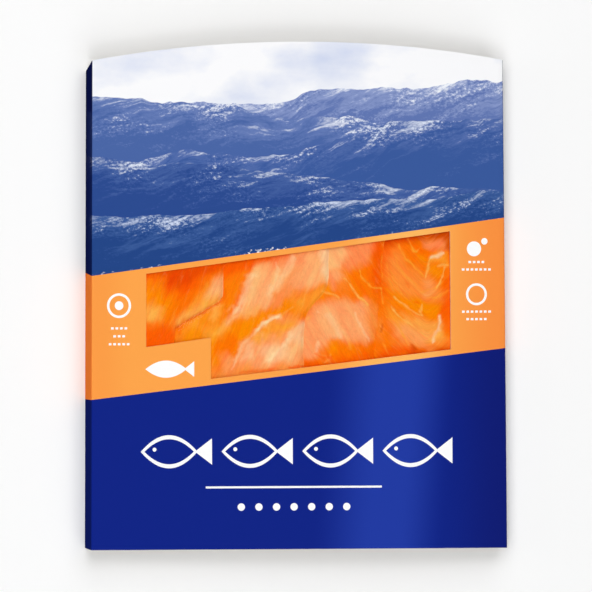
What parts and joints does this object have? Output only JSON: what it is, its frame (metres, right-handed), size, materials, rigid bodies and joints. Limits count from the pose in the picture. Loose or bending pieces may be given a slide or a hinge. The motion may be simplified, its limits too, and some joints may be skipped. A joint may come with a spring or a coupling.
{
  "type": "pack of smoked salmon",
  "caption": "Flat card sleeve with an arched top and a notched window, round a clear vacuum pouch of sliced smoked salmon, lying on its back.",
  "frame": {"origin": "middle of the pack's plan, on the surface that its back panel rests on", "axes": "+Z out of the front panel, +Y towards the pack's top edge, +X to the right of the front"},
  "size_m": [0.1956, 0.2306, 0.0148],
  "materials": {
    "printed_card": "offset print in blue, pale blue and orange under a satin varnish",
    "salmon": "moist orange fish flesh with pale fat lines",
    "pouch_film": "thin clear gloss film"
  },
  "bodies": {
    "root": {"card_sleeve": "printed_card", "salmon_pouch": "salmon"}
  },
  "joints": []
}
